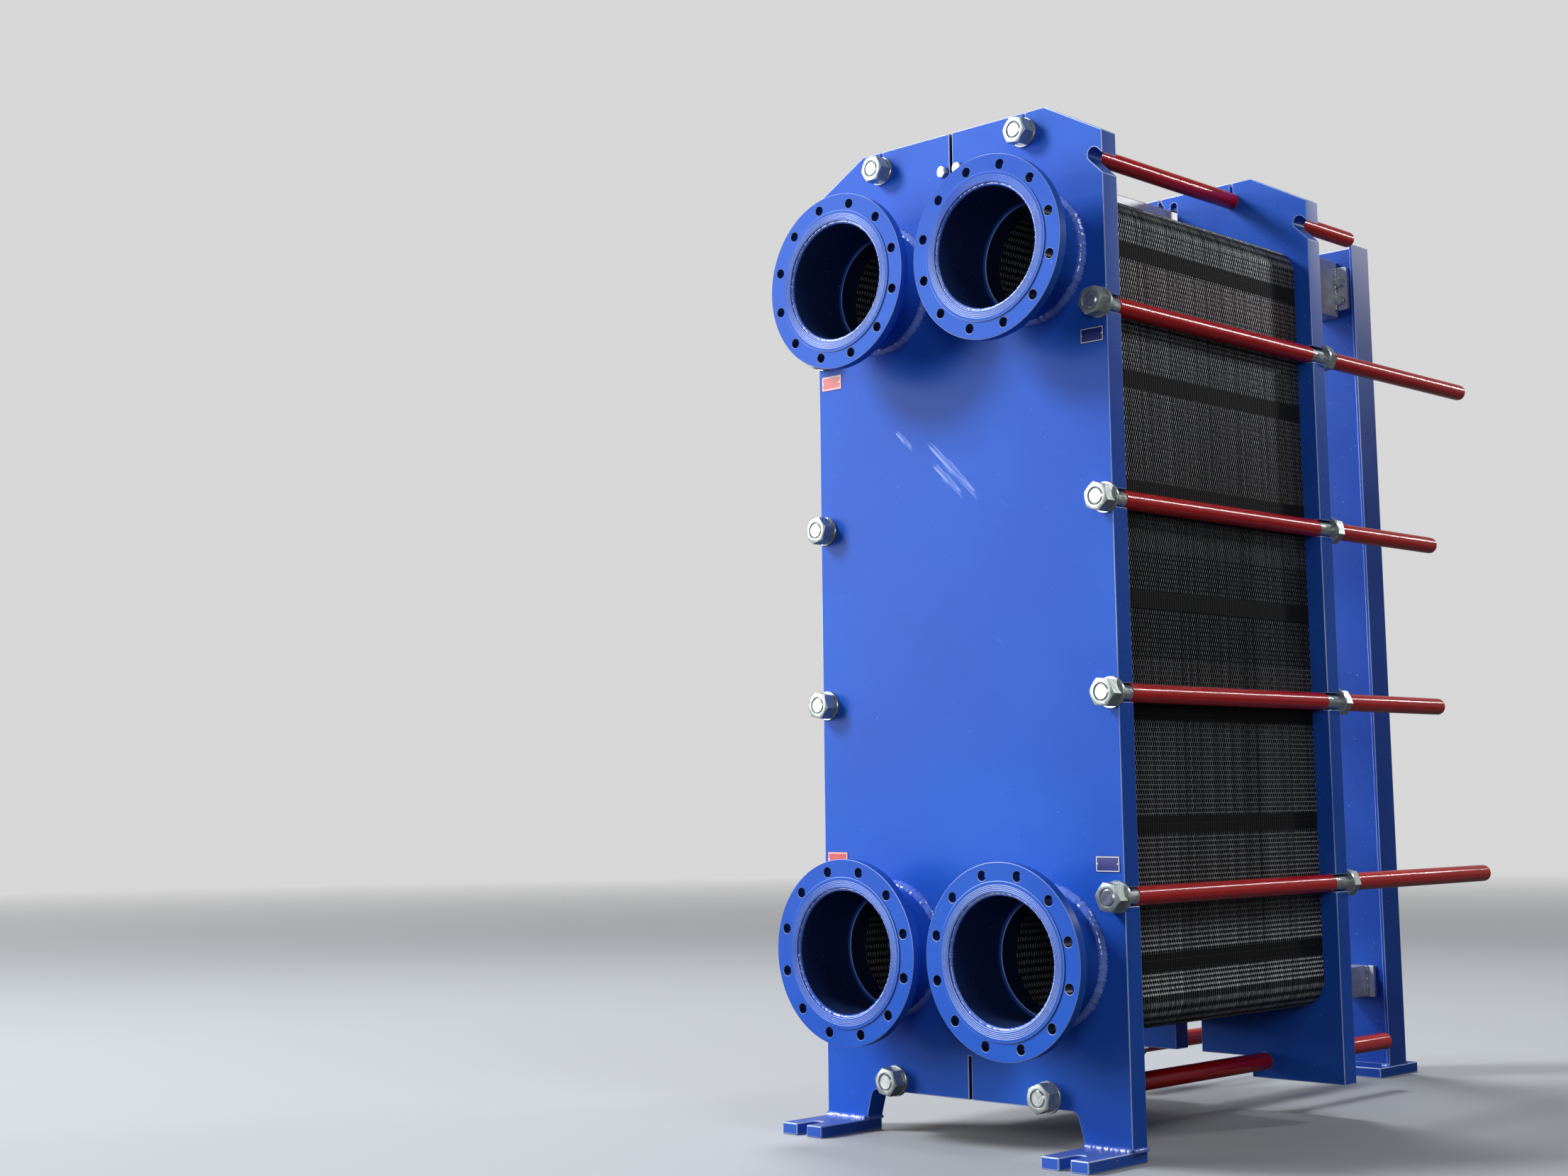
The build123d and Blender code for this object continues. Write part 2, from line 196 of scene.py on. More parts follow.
# Kerf, bore and bolt-hole walls are drawn almost black, painted shade in the deep cuts.
cut_wall_shade = clouded("painted_shade_on_cut_and_bored_walls", "#101A38", "#1A2747", 45 * mm, 5, 0.42)
# The scuffs are dull pale streaks, all slanted the way the sling was dragged. Each has the
# x and z of its middle and half its length and width, in mm.
scuffed_enamel = enamel("royal_blue_enamel_scuffed_by_a_sling", "#2052BC", "#2A61C9", 0.32, 0.08)
place = add_node(scuffed_enamel, "TexCoord").outputs["Object"]
scuffs = ((-13, 1432, 130, 15), (-28, 1412, 75, 13), (-153, 1514, 45, 10))
strongest = 0
for x, z, half_length, half_width in scuffs:
    patch = add_node(scuffed_enamel, "Mapping", {
        "Vector": place, "Location": (x * mm, 0, z * mm), "Rotation": (0, math.radians(45), 0),
        "Scale": (half_length * mm, 1, half_width * mm)}, vector_type="TEXTURE")
    inside = add_node(scuffed_enamel, "VectorMath", {0: patch.outputs[0], 1: (1, 0, 1)},
                      operation="MULTIPLY")
    away = add_node(scuffed_enamel, "VectorMath", {0: inside.outputs[0]}, operation="LENGTH")
    strength = add_node(scuffed_enamel, "MapRange", {0: away.outputs["Value"], 1: 0.6, 2: 1,
                                                     3: 0.27, 4: 0})
    drag = add_node(scuffed_enamel, "Mapping", {"Vector": inside.outputs[0], "Scale": (1.2, 1, 5)})
    scratch = add_node(scuffed_enamel, "TexNoise", {"Vector": drag.outputs[0], "Scale": 1,
                                                    "Detail": 4})
    streak = add_node(scuffed_enamel, "Math", {0: scratch.outputs[0], 1: strength.outputs[0]},
                      operation="ADD")
    strongest = add_node(scuffed_enamel, "Math", {0: strongest, 1: streak.outputs[0]},
                         operation="MAXIMUM").outputs[0]
bared = add_node(scuffed_enamel, "MapRange", {0: strongest, 1: 0.72, 2: 0.84, 3: 0, 4: 0.7})
lay_over(scuffed_enamel, bared.outputs[0], "#9FB5F0")

ports = {}
for port in ("upper_left", "upper_right", "lower_left", "lower_right"):
    low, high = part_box("flange_" + port)
    ports[port] = Vector(((low.x + high.x) / 2, low.y, (low.z + high.z) / 2))
plate_edge, bore_reach, kerf_reach = 1.8 * mm, 150 * mm, 5 * mm
for node_name, coat in (("frame_plate", scuffed_enamel), ("pressure_plate", blue_enamel)):
    plate = carried_over(node_name)
    add_finishes(plate, coat, edge_highlight_enamel, cut_wall_shade)
    # The rounded edges take the pale enamel, a painted highlight.
    ease_edges(plate, plate_edge, material=1)
    # The bore and kerf walls take the near-black finish, painted shade in the cuts.
    for wall in plate.data.polygons:
        from_port = min(math.hypot(wall.center.x - centre.x, wall.center.z - centre.z)
                        for centre in ports.values())
        cut = from_port < bore_reach or abs(wall.center.x) < kerf_reach
        if cut and abs(wall.normal.y) < 0.3:
            wall.material_index = 2
    finished(plate, node_name + "_steel", None, "blue_paint", node_name)


# Feet. Short pieces of 25 mm plate with a flame-cut slot for an anchor bolt, their edges
# ground round, fillet welded to the legs' fronts and sides and painted over.
def ripples(count, swell, dip):
    """The sizes of a weld's ripples, in turn swollen and dipped, and all uneven."""
    return [1 + (swell if i % 2 else -dip) + random.uniform(-swell, swell) for i in range(count)]


def bead(start, end, faces, stand, width, height, seed):
    """A straight hand-laid weld bead in a corner, between faces that look two given ways."""
    random.seed(seed)
    one, other = (Vector(face) for face in faces)
    out, across = (one + other) * math.sqrt(0.5), (other - one) * math.sqrt(0.5)
    run = Vector(end) - Vector(start)
    start = Vector(start) + (one + other) * stand
    ripple = 2.6 * mm
    steps = int(run.length / ripple)
    bpy.ops.object.select_all(action="DESELECT")
    bpy.ops.mesh.primitive_grid_add(x_subdivisions=steps, y_subdivisions=6, size=2)
    piece = bpy.context.object
    sizes = ripples(steps + 1, 0.16, 0.1)
    sizes[0] = sizes[-1] = 0.5
    for corner in piece.data.vertices:
        along, side = (corner.co.x + 1) / 2, corner.co.y
        size = sizes[round(along * steps)]
        corner.co = (start + run * along + across * side * width / 2 * size
                     + out * height * math.cos(side * math.pi / 2) * size)
    select_only(piece)
    bpy.ops.object.shade_smooth()
    return piece


def joined(pieces):
    """Several objects made into one mesh."""
    bpy.ops.object.select_all(action="DESELECT")
    for piece in pieces:
        piece.select_set(True)
    bpy.context.view_layer.objects.active = pieces[0]
    bpy.ops.object.join()
    return bpy.context.object


plate_low, plate_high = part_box("frame_plate")
foot_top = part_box("foot_right")[1].z
leg_width, foot_edge, weld_stand = 116 * mm, 2.5 * mm, 2.5 * mm
# The enamel runs together on a weld, so the ripples are glossier than the plates. They are also
# drawn paler, a painted glint.
weld_glint_enamel = enamel("royal_blue_enamel_on_weld_with_painted_glints", "#2856CC", "#86A4EE", 0.12, 1)
# Grey floor dust lies on the feet's tops, in blotches, and less of it on their sides.
foot_enamel = enamel("royal_blue_enamel_under_floor_dust", "#2052BC", "#2A61C9", 0.32, 0.2)
place = add_node(foot_enamel, "TexCoord").outputs["Object"]
above = add_node(foot_enamel, "SeparateXYZ", {0: place})
lying = add_node(foot_enamel, "MapRange", {0: above.outputs["Z"], 1: foot_top - 2 * mm,
                                           2: foot_top, 3: 0.15, 4: 0.55})
grime = add_node(foot_enamel, "TexNoise", {"Vector": place, "Scale": 1 / (22 * mm), "Detail": 5})
dusting = add_node(foot_enamel, "Math", {0: lying.outputs[0], 1: grime.outputs[0]},
                   operation="MULTIPLY")
lay_over(foot_enamel, dusting.outputs[0], "#6B6A72")
for side, direction in (("left", -1), ("right", 1)):
    foot = carried_over("foot_" + side)
    add_finishes(foot, foot_enamel, edge_highlight_enamel)
    # The rounded edges take the pale enamel, a painted highlight.
    ease_edges(foot, foot_edge, 3, material=1)
    finished(foot, f"foot_{side}_bar", None, "blue_paint", "foot_" + side)
    leg_out = direction * plate_high.x
    leg_in = direction * (plate_high.x - leg_width)
    beads = [bead((leg_in, plate_low.y, foot_top), (leg_out, plate_low.y, foot_top),
                  ((0, -1, 0), (0, 0, 1)), weld_stand, 15 * mm, 5 * mm, 3 + direction)]
    for x, outward in ((leg_out, direction), (leg_in, -direction)):
        beads.append(bead((x, plate_low.y, foot_top), (x, plate_high.y, foot_top),
                          ((outward, 0, 0), (0, 0, 1)), weld_stand, 11 * mm, 3.5 * mm,
                          7 + direction))
    finished(joined(beads), f"foot_{side}_weld", weld_glint_enamel, "blue_paint")


# Flanges. Turned slip-on flanges: a raised sealing face with four shallow grooves by the
# bore, twelve drilled bolt holes and broken edges. They were sprayed with the plate.
def pick(piece, kind, wanted):
    """In edit mode, selects only those points, edges or faces that pass a test."""
    bpy.ops.object.mode_set(mode="EDIT")
    bpy.ops.mesh.select_mode(type=kind)
    bpy.ops.mesh.select_all(action="DESELECT")
    bpy.ops.object.mode_set(mode="OBJECT")
    for item in {"VERT": piece.data.vertices, "EDGE": piece.data.edges,
                 "FACE": piece.data.polygons}[kind]:
        item.select = wanted(item)
    bpy.ops.object.mode_set(mode="EDIT")


def spun(profile, centre, steps, closed=True):
    """A ring turned from its section, given as radius and depth, about the Y axis. A section
    that isn't closed lacks the line from its last point to its first."""
    bpy.ops.object.select_all(action="DESELECT")
    bpy.ops.mesh.primitive_circle_add(vertices=len(profile), radius=1, location=(0, 0, 0))
    piece = bpy.context.object
    for corner, (radius, depth) in zip(piece.data.vertices, profile):
        corner.co = (radius, depth, 0)
    select_only(piece)
    if not closed:
        pick(piece, "EDGE", lambda line: set(line.vertices) == {0, len(profile) - 1})
        bpy.ops.mesh.delete(type="EDGE")
    bpy.ops.object.mode_set(mode="EDIT")
    bpy.ops.mesh.select_mode(type="VERT")
    bpy.ops.mesh.select_all(action="SELECT")
    bpy.ops.mesh.spin(steps=steps, angle=2 * math.pi, center=(0, 0, 0), axis=(0, 1, 0))
    bpy.ops.mesh.select_all(action="SELECT")
    bpy.ops.mesh.remove_doubles(threshold=0.01 * mm)
    bpy.ops.mesh.normals_make_consistent(inside=False)
    bpy.ops.object.mode_set(mode="OBJECT")
    piece.location = centre
    return piece


flange_low, flange_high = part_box("flange_lower_right")
flange_thick = flange_high.y - flange_low.y
bore, raised_face, rim = 136.8 * mm, 160 * mm, 197.5 * mm
bore_edge, edge, step, groove = 1.6 * mm, 1 * mm, 3 * mm, 1.3 * mm
bolt_circle, bolt_count, bolt_hole = 175 * mm, 12, 11 * mm
hole_edge, overrun = 0.8 * mm, 20 * mm
profile = [(bore, bore_edge), (bore + bore_edge, 0)]
for radius in (140.5, 144, 147.5, 151):
    profile += [(radius * mm, 0), ((radius + 1) * mm, groove), ((radius + 2) * mm, 0)]
profile += [(raised_face - edge, 0), (raised_face, edge), (raised_face, step),
            (rim - edge, step), (rim, step + edge), (rim, flange_thick - edge),
            (rim - edge, flange_thick), (bore, flange_thick)]
drilling = [(0, -overrun), (bolt_hole + hole_edge, -overrun), (bolt_hole + hole_edge, step),
            (bolt_hole, step + hole_edge), (bolt_hole, flange_thick + overrun),
            (0, flange_thick + overrun)]
for port, centre in ports.items():
    flange = spun(profile, centre, 144)
    drills = []
    for i in range(bolt_count):
        turn = math.radians((i + 0.5) * 360 / bolt_count)
        out = bolt_circle * Vector((math.cos(turn), 0, math.sin(turn)))
        drills.append(spun(drilling, centre + out, 32, closed=False))
    drill = joined(drills)
    apply_modifier(flange, "BOOLEAN", object=drill, operation="DIFFERENCE", solver="EXACT")
    bpy.data.objects.remove(drill)
    smooth(flange)
    finished(flange, f"flange_{port}_turned", blue_enamel, "blue_paint", "flange_" + port)
    # The grooves and broken edges take the pale enamel, a painted highlight.
    add_finishes(flange, edge_highlight_enamel, cut_wall_shade)
    # The bolt-hole walls take the near-black finish, painted shade in the holes.
    for wall in flange.data.polygons:
        from_axis = math.hypot(wall.center.x - centre.x, wall.center.z - centre.z)
        by_bolts = abs(from_axis - bolt_circle) < bolt_hole + 3 * mm
        if by_bolts and abs(wall.normal.y) < 0.3:
            wall.material_index = 2
        elif 0.2 < abs(wall.normal.y) < 0.9:
            wall.material_index = 1


# Nozzle pipes. Steel pipe cut to length and fillet welded to the frame plate and, front and
# back, to the flange. The welds are hand laid and lumpy and the enamel lies glossy on them.
def round_bead(radius, depth, width, height, lean, seed):
    """A hand-laid weld bead round a nozzle: a ring of overlapping ripples of uneven size."""
    random.seed(seed)
    ripple = 3.4 * mm
    steps = int(2 * math.pi * radius / ripple)
    tilt = math.radians(lean)
    profile = []
    for i in range(6):
        a, b = width / 2 * math.cos(math.pi * i / 5), height * math.sin(math.pi * i / 5)
        profile.append((radius + a * math.cos(tilt) + b * math.sin(tilt),
                        depth + a * math.sin(tilt) - b * math.cos(tilt)))
    piece = spun(profile, (0, 0, 0), steps)
    sizes = ripples(steps, 0.2, 0.12)
    for corner in piece.data.vertices:
        turn = math.atan2(corner.co.z, corner.co.x)
        middle = Vector((radius * math.cos(turn), depth, radius * math.sin(turn)))
        size = sizes[round(turn / (2 * math.pi) * steps) % steps]
        corner.co = middle + (corner.co - middle) * size
    select_only(piece)
    bpy.ops.object.shade_smooth()
    return piece


# The nozzle bores are drawn dull and a much darker blue, painted shade inside the pipes.
bore_shade_enamel = enamel("royal_blue_enamel_darkened_as_painted_shade_in_bore", "#1A2850", "#243868", 0.5, 0.05)
outer, inner, cut_edge = 136.5 * mm, 130.5 * mm, 1 * mm
for number, (port, centre) in enumerate(ports.items()):
    low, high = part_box("pipe_" + port)
    end, reach = low.y - centre.y, high.y - centre.y
    pipe = spun([(outer, end + cut_edge), (outer - cut_edge, end), (inner + cut_edge, end),
                 (inner, end + cut_edge), (inner, reach), (outer, reach)], centre, 128)
    smooth(pipe)
    finished(pipe, f"pipe_{port}_tube", blue_enamel, "blue_paint", "pipe_" + port)
    # The pipe's inner wall takes the darker enamel, painted shade inside the pipe.
    add_finishes(pipe, bore_shade_enamel)
    for wall in pipe.data.polygons:
        from_axis = math.hypot(wall.center.x - centre.x, wall.center.z - centre.z)
        wall.material_index = 1 if from_axis < inner + 0.2 * mm else 0
    # The welds are at the plate, behind the flange, and in the flange at the pipe's end. Each
    # has its distance out from the pipe, its place along it, its width, height and lean.
    welds = ((4.5 * mm, reach - 4 * mm, 20 * mm, 5 * mm, 45),
             (2.5 * mm, flange_thick + 2.5 * mm, 9 * mm, 3 * mm, 135),
             (-2.2 * mm, end - 0.5 * mm, 8 * mm, 3 * mm, -45))
    beads = [round_bead(outer + out, depth, width, height, lean, number + 20 * i)
             for i, (out, depth, width, height, lean) in enumerate(welds)]
    for ring in beads:
        ring.location = centre
    finished(joined(beads), f"nozzle_{port}_welds", weld_glint_enamel, "blue_paint")


# Tie bolts. Zinc-plated studs with a coarse thread, a hexagon nut chamfered on both faces
# and a thick plain washer at each end. The zinc is bright with a cloudy bluish bloom.
def zinc(name, dull, bright, smoothest, roughest, metallic):
    """Zinc plating with a cloudy bloom that is part bright and part matt. The grain is drawn
    coarser than real, or it wouldn't show."""
    bloom_size, grain_size = 14 * mm, 1.5 * mm
    material = new_finish(name)
    place = add_node(material, "TexCoord").outputs["Object"]
    bloom = add_node(material, "TexNoise", {"Vector": place, "Scale": 1 / bloom_size, "Detail": 4})
    tint = add_node(material, "Mix", {0: bloom.outputs[0], 6: linear(dull), 7: linear(bright)},
                    data_type="RGBA")
    matt = add_node(material, "MapRange", {0: bloom.outputs[0], 1: 0.35, 2: 0.65, 3: smoothest,
                                           4: roughest})
    grain = add_node(material, "TexNoise", {"Vector": place, "Scale": 1 / grain_size, "Detail": 2})
    bump = add_node(material, "Bump", {"Height": grain.outputs[0], "Strength": 0.15,
                                       "Distance": 0.1 * mm})
    surface(material, {"Base Color": tint.outputs[2], "Roughness": matt.outputs[0],
                       "Metallic": metallic, "Normal": bump.outputs[0]})
    return material


# The studs and washers shine, and the nuts are greyer and duller.
bright_zinc = zinc("bright_zinc_plating", "#A6AFB3", "#D6DCDD", 0.2, 0.36, 0.75)
matt_zinc = zinc("matt_zinc_plating", "#929D9B", "#BFC8C7", 0.34, 0.5, 0.6)


def hexagon(across, height, chamfer):
    """A hexagon standing from y = 0 to its height, its corners turned off on both faces."""
    bpy.ops.object.select_all(action="DESELECT")
    bpy.ops.mesh.primitive_cylinder_add(vertices=6, radius=across / math.sqrt(3), depth=height,
                                        rotation=(math.pi / 2, 0, 0), location=(0, height / 2, 0))
    piece = bpy.context.object
    bpy.ops.object.transform_apply(location=True, rotation=True, scale=True)
    inside, outside = 0.475 * across, 0.475 * across + 1.8 * chamfer
    turned = spun([(0, 0), (inside, 0), (outside, chamfer), (outside, height - chamfer),
                   (inside, height), (0, height)], (0, 0, 0), 48, closed=False)
    apply_modifier(piece, "BOOLEAN", object=turned, operation="INTERSECT", solver="EXACT")
    bpy.data.objects.remove(turned)
    return piece


def copied_to(piece, point):
    """A copy of a piece at a place, with its own mesh."""
    copy = piece.copy()
    copy.data = piece.data.copy()
    bpy.context.scene.collection.objects.link(copy)
    copy.location = point
    return copy


def copies(piece, places, unevenly=False):
    """A copy of a piece at each place, joined into one. Uneven ones are each turned a bit."""
    random.seed(len(places))
    made = [copied_to(piece, point) for point in places]
    if unevenly:
        for copy in made:
            copy.rotation_euler = (0, math.radians(random.uniform(0, 60)), 0)
    bpy.data.objects.remove(piece)
    return joined(made)


rods = []
for number in range(1, 13):
    low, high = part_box(f"tie_rod_{number:02d}")
    rods.append(((low.x + high.x) / 2, (low.z + high.z) / 2, low.y, high.y))
bolt_places = [(x, z) for x, z, start, end in rods]
crest, root, thread_pitch = 18 * mm, 16.2 * mm, 4 * mm
tip, tip_length = 14.5 * mm, 2 * mm
clear, sink, overrun = 18.1 * mm, 1.5 * mm, 1 * mm
across_nut, nut_chamfer, washer_rim = 55 * mm, 3.2 * mm, 33 * mm

for where in ("front", "rear"):
    low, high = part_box("nuts_" + where)
    height = high.y - low.y
    nut = hexagon(across_nut, height, nut_chamfer)
    wide = clear + sink + overrun
    drill = spun([(0, -overrun), (wide, -overrun), (clear, sink), (clear, height - sink),
                  (wide, height + overrun), (0, height + overrun)], (0, 0, 0), 48, closed=False)
    apply_modifier(nut, "BOOLEAN", object=drill, operation="DIFFERENCE", solver="EXACT")
    bpy.data.objects.remove(drill)
    smooth(nut)
    nuts = copies(nut, [(x, low.y, z) for x, z in bolt_places], unevenly=True)
    finished(nuts, f"nuts_{where}_turned", matt_zinc, "zinc_steel", "nuts_" + where)
    low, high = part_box("washers_" + where)
    thick = high.y - low.y
    washer = spun([(clear, 0.5 * mm), (clear + 0.5 * mm, 0), (washer_rim - 1 * mm, 0),
                   (washer_rim, 0.9 * mm), (washer_rim, thick - 0.5 * mm),
                   (washer_rim - 0.5 * mm, thick), (clear, thick)], (0, 0, 0), 56)
    smooth(washer)
    washers = copies(washer, [(x, low.y, z) for x, z in bolt_places])
    finished(washers, f"washers_{where}_turned", bright_zinc, "zinc_steel", "washers_" + where)

pressure_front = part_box("pressure_plate")[0].y
rear_nut_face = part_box("nuts_rear")[1].y
for number, (x, z, start, end) in enumerate(rods, start=1):
    parts = [spun([(0, start), (tip, start), (crest - 0.6 * mm, start + tip_length),
                   (root, start + tip_length + 1 * mm), (root, end), (0, end)], (x, 0, z), 28,
                  closed=False)]
    for y, last in ((start + tip_length, plate_high.y + 2 * mm),
                    (pressure_front - 2 * mm, rear_nut_face + 3 * mm)):
        thread = []
        while y < last:
            thread += [(root, y), (crest, y + 0.4 * thread_pitch), (crest, y + 0.6 * thread_pitch)]
            y += thread_pitch
        thread.append((root, y))
        parts.append(spun(thread, (x, 0, z), 28, closed=False))
    for part in parts:
        smooth(part)
    finished(joined(parts), f"tie_rod_{number:02d}_threaded", bright_zinc, "rod_steel",
             f"tie_rod_{number:02d}")


# Sleeves. Thin extruded plastic tube in dark red, pushed over the greased threads between
# the plates and behind the rear nuts, the rear ones closed at the end. The tube takes the
# thread's ripple, so its highlight breaks up into beads.
red_plastic = clouded("dark_red_extruded_plastic", "#C00E18", "#DC1822", 60 * mm, 3, 0.17)
place = add_node(red_plastic, "TexCoord").outputs["Object"]
plain_wave = 0.314  # how many metres apart a wave texture's bands are at a scale of 1
ripple = add_node(red_plastic, "TexWave", {
    "Vector": place, "Scale": plain_wave / thread_pitch, "Distortion": 1.2, "Detail": 2,
    "Detail Scale": 3}, wave_type="BANDS", bands_direction="Y", wave_profile="SIN")
bump = add_node(red_plastic, "Bump", {"Height": ripple.outputs[1], "Strength": 0.5,
                                      "Distance": 0.35 * mm})
surface(red_plastic, {"Normal": bump.outputs[0]})

sleeve_low, sleeve_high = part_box("rod_sleeves")
length = sleeve_high.y - sleeve_low.y
outer, dome, dome_steps = 19.9 * mm, 15 * mm, 6
tube = spun([(clear, 0), (outer - 0.6 * mm, 0), (outer, 0.8 * mm), (outer, length - 0.8 * mm),
             (outer - 0.6 * mm, length), (clear, length)], (0, 0, 0), 40)
smooth(tube)
tubes = copies(tube, [(x, sleeve_low.y, z) for x, z in bolt_places])
finished(tubes, "rod_sleeves_tube", red_plastic, "red_sleeve", "rod_sleeves")
longest = max(end for x, z, start, end in rods)
for kind in ("long", "short"):
    low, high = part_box("end_sleeves_" + kind)
    length = high.y - low.y
    profile = [(clear, 0), (outer - 0.4 * mm, 0), (outer, 0.6 * mm)]
    for i in range(dome_steps):
        turn = math.pi / 2 * i / dome_steps
        profile.append((outer * math.cos(turn), length - dome + dome * math.sin(turn)))
    profile += [(0, length), (0, length - 2 * mm), (clear, length - dome - 4 * mm)]
    cap = spun(profile, (0, 0, 0), 40)
    smooth(cap)
    caps = copies(cap, [(x, low.y, z) for x, z, start, end in rods
                        if (abs(end - longest) < 1 * mm) == (kind == "long")])
    finished(caps, f"end_sleeves_{kind}_tube", red_plastic, "red_sleeve", "end_sleeves_" + kind)


# Plate pack. Some 185 pressed stainless sheets with a rubber gasket between each two. The
# rims are pressed in a shallow zigzag and neighbours meet crest to crest, so the sheets'
# edges form a fine honeycomb down both sides, over the top and round the port channels.
pack_low, pack_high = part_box("plate_pack")
wide, tall = pack_high.x - pack_low.x, pack_high.z - pack_low.z
pack_middle = Vector((0, 0, (pack_low.z + pack_high.z) / 2))
pitch, sheet_gauge = 4.1 * mm, 0.7 * mm
zigzag = (pitch - sheet_gauge) / 2
batches = (47, 46, 46, 46)  # all the rims in one piece would be too many triangles
first_y = (pack_low.y + pack_high.y) / 2 - pitch * (sum(batches) - 1) / 2 - sheet_gauge / 2
rim_depth, corner_radius, corner_steps = 6 * mm, 65 * mm, 10
long_run = 100 * mm  # only the long straight edges run further than this one way
side_steps, end_steps, sway = 328, 64, 1.1 * mm
notch_half, notch_top = 31.5 * mm, 32.5 * mm

# Cut sheet edges are grey and bright by turns from sheet to sheet, in streaks along them.
pressed_sheet = new_finish("pressed_stainless_sheet_edge")
place = add_node(pressed_sheet, "TexCoord").outputs["Object"]
drawn = add_node(pressed_sheet, "Mapping", {"Vector": place, "Scale": (2, 1 / (2 * pitch), 0.6)})
streak = add_node(pressed_sheet, "TexNoise", {"Vector": drawn.outputs[0], "Scale": 1, "Detail": 3})
shade = add_node(pressed_sheet, "MapRange", {0: streak.outputs[0], 1: 0.3, 2: 0.7, 3: 0, 4: 1})
tint = add_node(pressed_sheet, "Mix", {0: shade.outputs[0], 6: linear("#5A5D60"),
                                       7: linear("#C4C6C8")}, data_type="RGBA")
surface(pressed_sheet, {"Base Color": tint.outputs[2], "Metallic": 0.6, "Roughness": 0.4})
# The slopes between crests and the sheet inward of the edges are drawn near black, painted shade
# in the gaps between sheets, so the bright edges stand out from them.
shaded_sheet = clouded("stainless_sheet_darkened_as_painted_shade", "#15171A", "#34373B",
                       6 * mm, 3, 0.5, 0.4)
# The edges in the channels are drawn pale, a painted light that lets them show in the dark bore.
channel_light_sheet = clouded("stainless_sheet_paled_as_painted_light_in_channel", "#A8AAAC", "#CCCED0",
                       30 * mm, 3, 0.3)
# Gasket rubber is dull and black, and a little greyer where it chalks.
rubber = clouded("black_moulded_rubber", "#08090B", "#141619", 14 * mm, 5, 0.7)
surface(rubber, {"Specular IOR Level": 0.25})


def give_rim(piece, gauge, centre, shrink, edge_finish):
    """Turns a zigzag line into a sheet's rim: its cut edge, and the sheet inward of it."""
    select_only(piece)
    bpy.ops.object.mode_set(mode="EDIT")
    bpy.ops.mesh.select_mode(type="EDGE")
    bpy.ops.mesh.select_all(action="SELECT")
    bpy.ops.mesh.extrude_edges_move(TRANSFORM_OT_translate={"value": (0, gauge, 0)})
    pick(piece, "VERT", lambda corner: abs(abs(corner.co.y) - zigzag) < 0.05 * mm)
    bpy.ops.mesh.extrude_edges_move(TRANSFORM_OT_translate={"value": (0, 0, 0)})
    bpy.ops.transform.resize(value=shrink, center_override=centre)
    bpy.ops.object.mode_set(mode="OBJECT")
    # The slopes and the sheet inward of the edge take the near-black painted shade.
    add_finishes(piece, edge_finish, shaded_sheet)
    for face in piece.data.polygons:
        depths = [piece.data.vertices[i].co.y for i in face.vertices]
        sloping = max(depths) - min(depths) > 1.5 * gauge
        face.material_index = 1 if sloping or abs(face.normal.y) > 0.3 else 0


def edge_run(piece, line):
    """How far an edge of a piece runs each way."""
    start, end = (piece.data.vertices[i].co for i in line.vertices)
    return start - end


def sheet_rim(direction):
    """One sheet's rim round the pack, open where it straddles the guide bar."""
    bpy.ops.object.select_all(action="DESELECT")
    bpy.ops.mesh.primitive_plane_add(size=1, rotation=(math.pi / 2, 0, 0), location=pack_middle)
    rim = bpy.context.object
    rim.scale = (wide, tall, 1)
    bpy.ops.object.transform_apply(location=False, rotation=True, scale=True)
    bpy.ops.object.mode_set(mode="EDIT")
    bpy.ops.mesh.select_all(action="SELECT")
    bpy.ops.mesh.bevel(offset=corner_radius, affect="VERTICES", segments=corner_steps,
                       clamp_overlap=False)
    bpy.ops.mesh.select_all(action="SELECT")
    bpy.ops.mesh.delete(type="ONLY_FACE")
    flat_x, flat_z = wide / 2 - corner_radius, tall / 2 - corner_radius
    for axis, steps in ((2, side_steps), (0, end_steps)):
        pick(rim, "EDGE", lambda line: abs(edge_run(rim, line)[axis]) > long_run)
        # One go makes 100 cuts at most, so the straight runs are cut in two goes.
        bpy.ops.mesh.subdivide(number_cuts=steps // 4 - 1)
        bpy.ops.mesh.subdivide(number_cuts=3)
    pick(rim, "VERT", lambda corner: abs(corner.co.x) < notch_half and corner.co.z < 0)
    bpy.ops.mesh.delete(type="VERT")
    bpy.ops.object.mode_set(mode="OBJECT")
    for corner in rim.data.vertices:
        x, z = corner.co.x, corner.co.z
        if abs(abs(x) - wide / 2) < 0.01 * mm:
            step = round((z + flat_z) / (2 * flat_z / side_steps))
            up = step % 4 < 2
            if 0 < step < side_steps:
                corner.co.z += sway if step % 2 else -sway
        elif abs(abs(z) - tall / 2) < 0.01 * mm:
            up = round((x + flat_x) / (2 * flat_x / end_steps)) % 2 == 0
        else:
            turn = math.atan2(abs(z) - flat_z, abs(x) - flat_x)
            up = round(turn / (math.pi / 2 / corner_steps)) % 4 < 2
        corner.co.y = direction * (zigzag if up else -zigzag)
    give_rim(rim, sheet_gauge, pack_middle,
             (1 - 2 * rim_depth / wide, 1, 1 - 2 * rim_depth / tall), pressed_sheet)
    for face in rim.data.polygons:
        # The corners' slopes are spared the painted shade, so they show bright.
        if 0.1 < abs(face.normal.x) < 0.99:  # the round corners are bright all over
            face.material_index = 0
    return rim


def stacked(rim, first, count):
    """Every second sheet of a run, from one rim."""
    row = copied_to(rim, rim.location)
    row.location.y = first_y + first * pitch
    apply_modifier(row, "ARRAY", count=count, use_relative_offset=False,
                   use_constant_offset=True, constant_offset_displace=(0, 2 * pitch, 0))
    return row


rims = [sheet_rim(1), sheet_rim(-1)]
first = 0
for number, count in enumerate(batches, start=1):
    rows = [stacked(rims[(first + i) % 2], first + i, (count + 1 - i) // 2) for i in (0, 1)]
    finished(joined(rows), f"sheet_rims_{number}", None, "sheet_steel", "plate_pack")
    first += count
for rim in rims:
    bpy.data.objects.remove(rim)

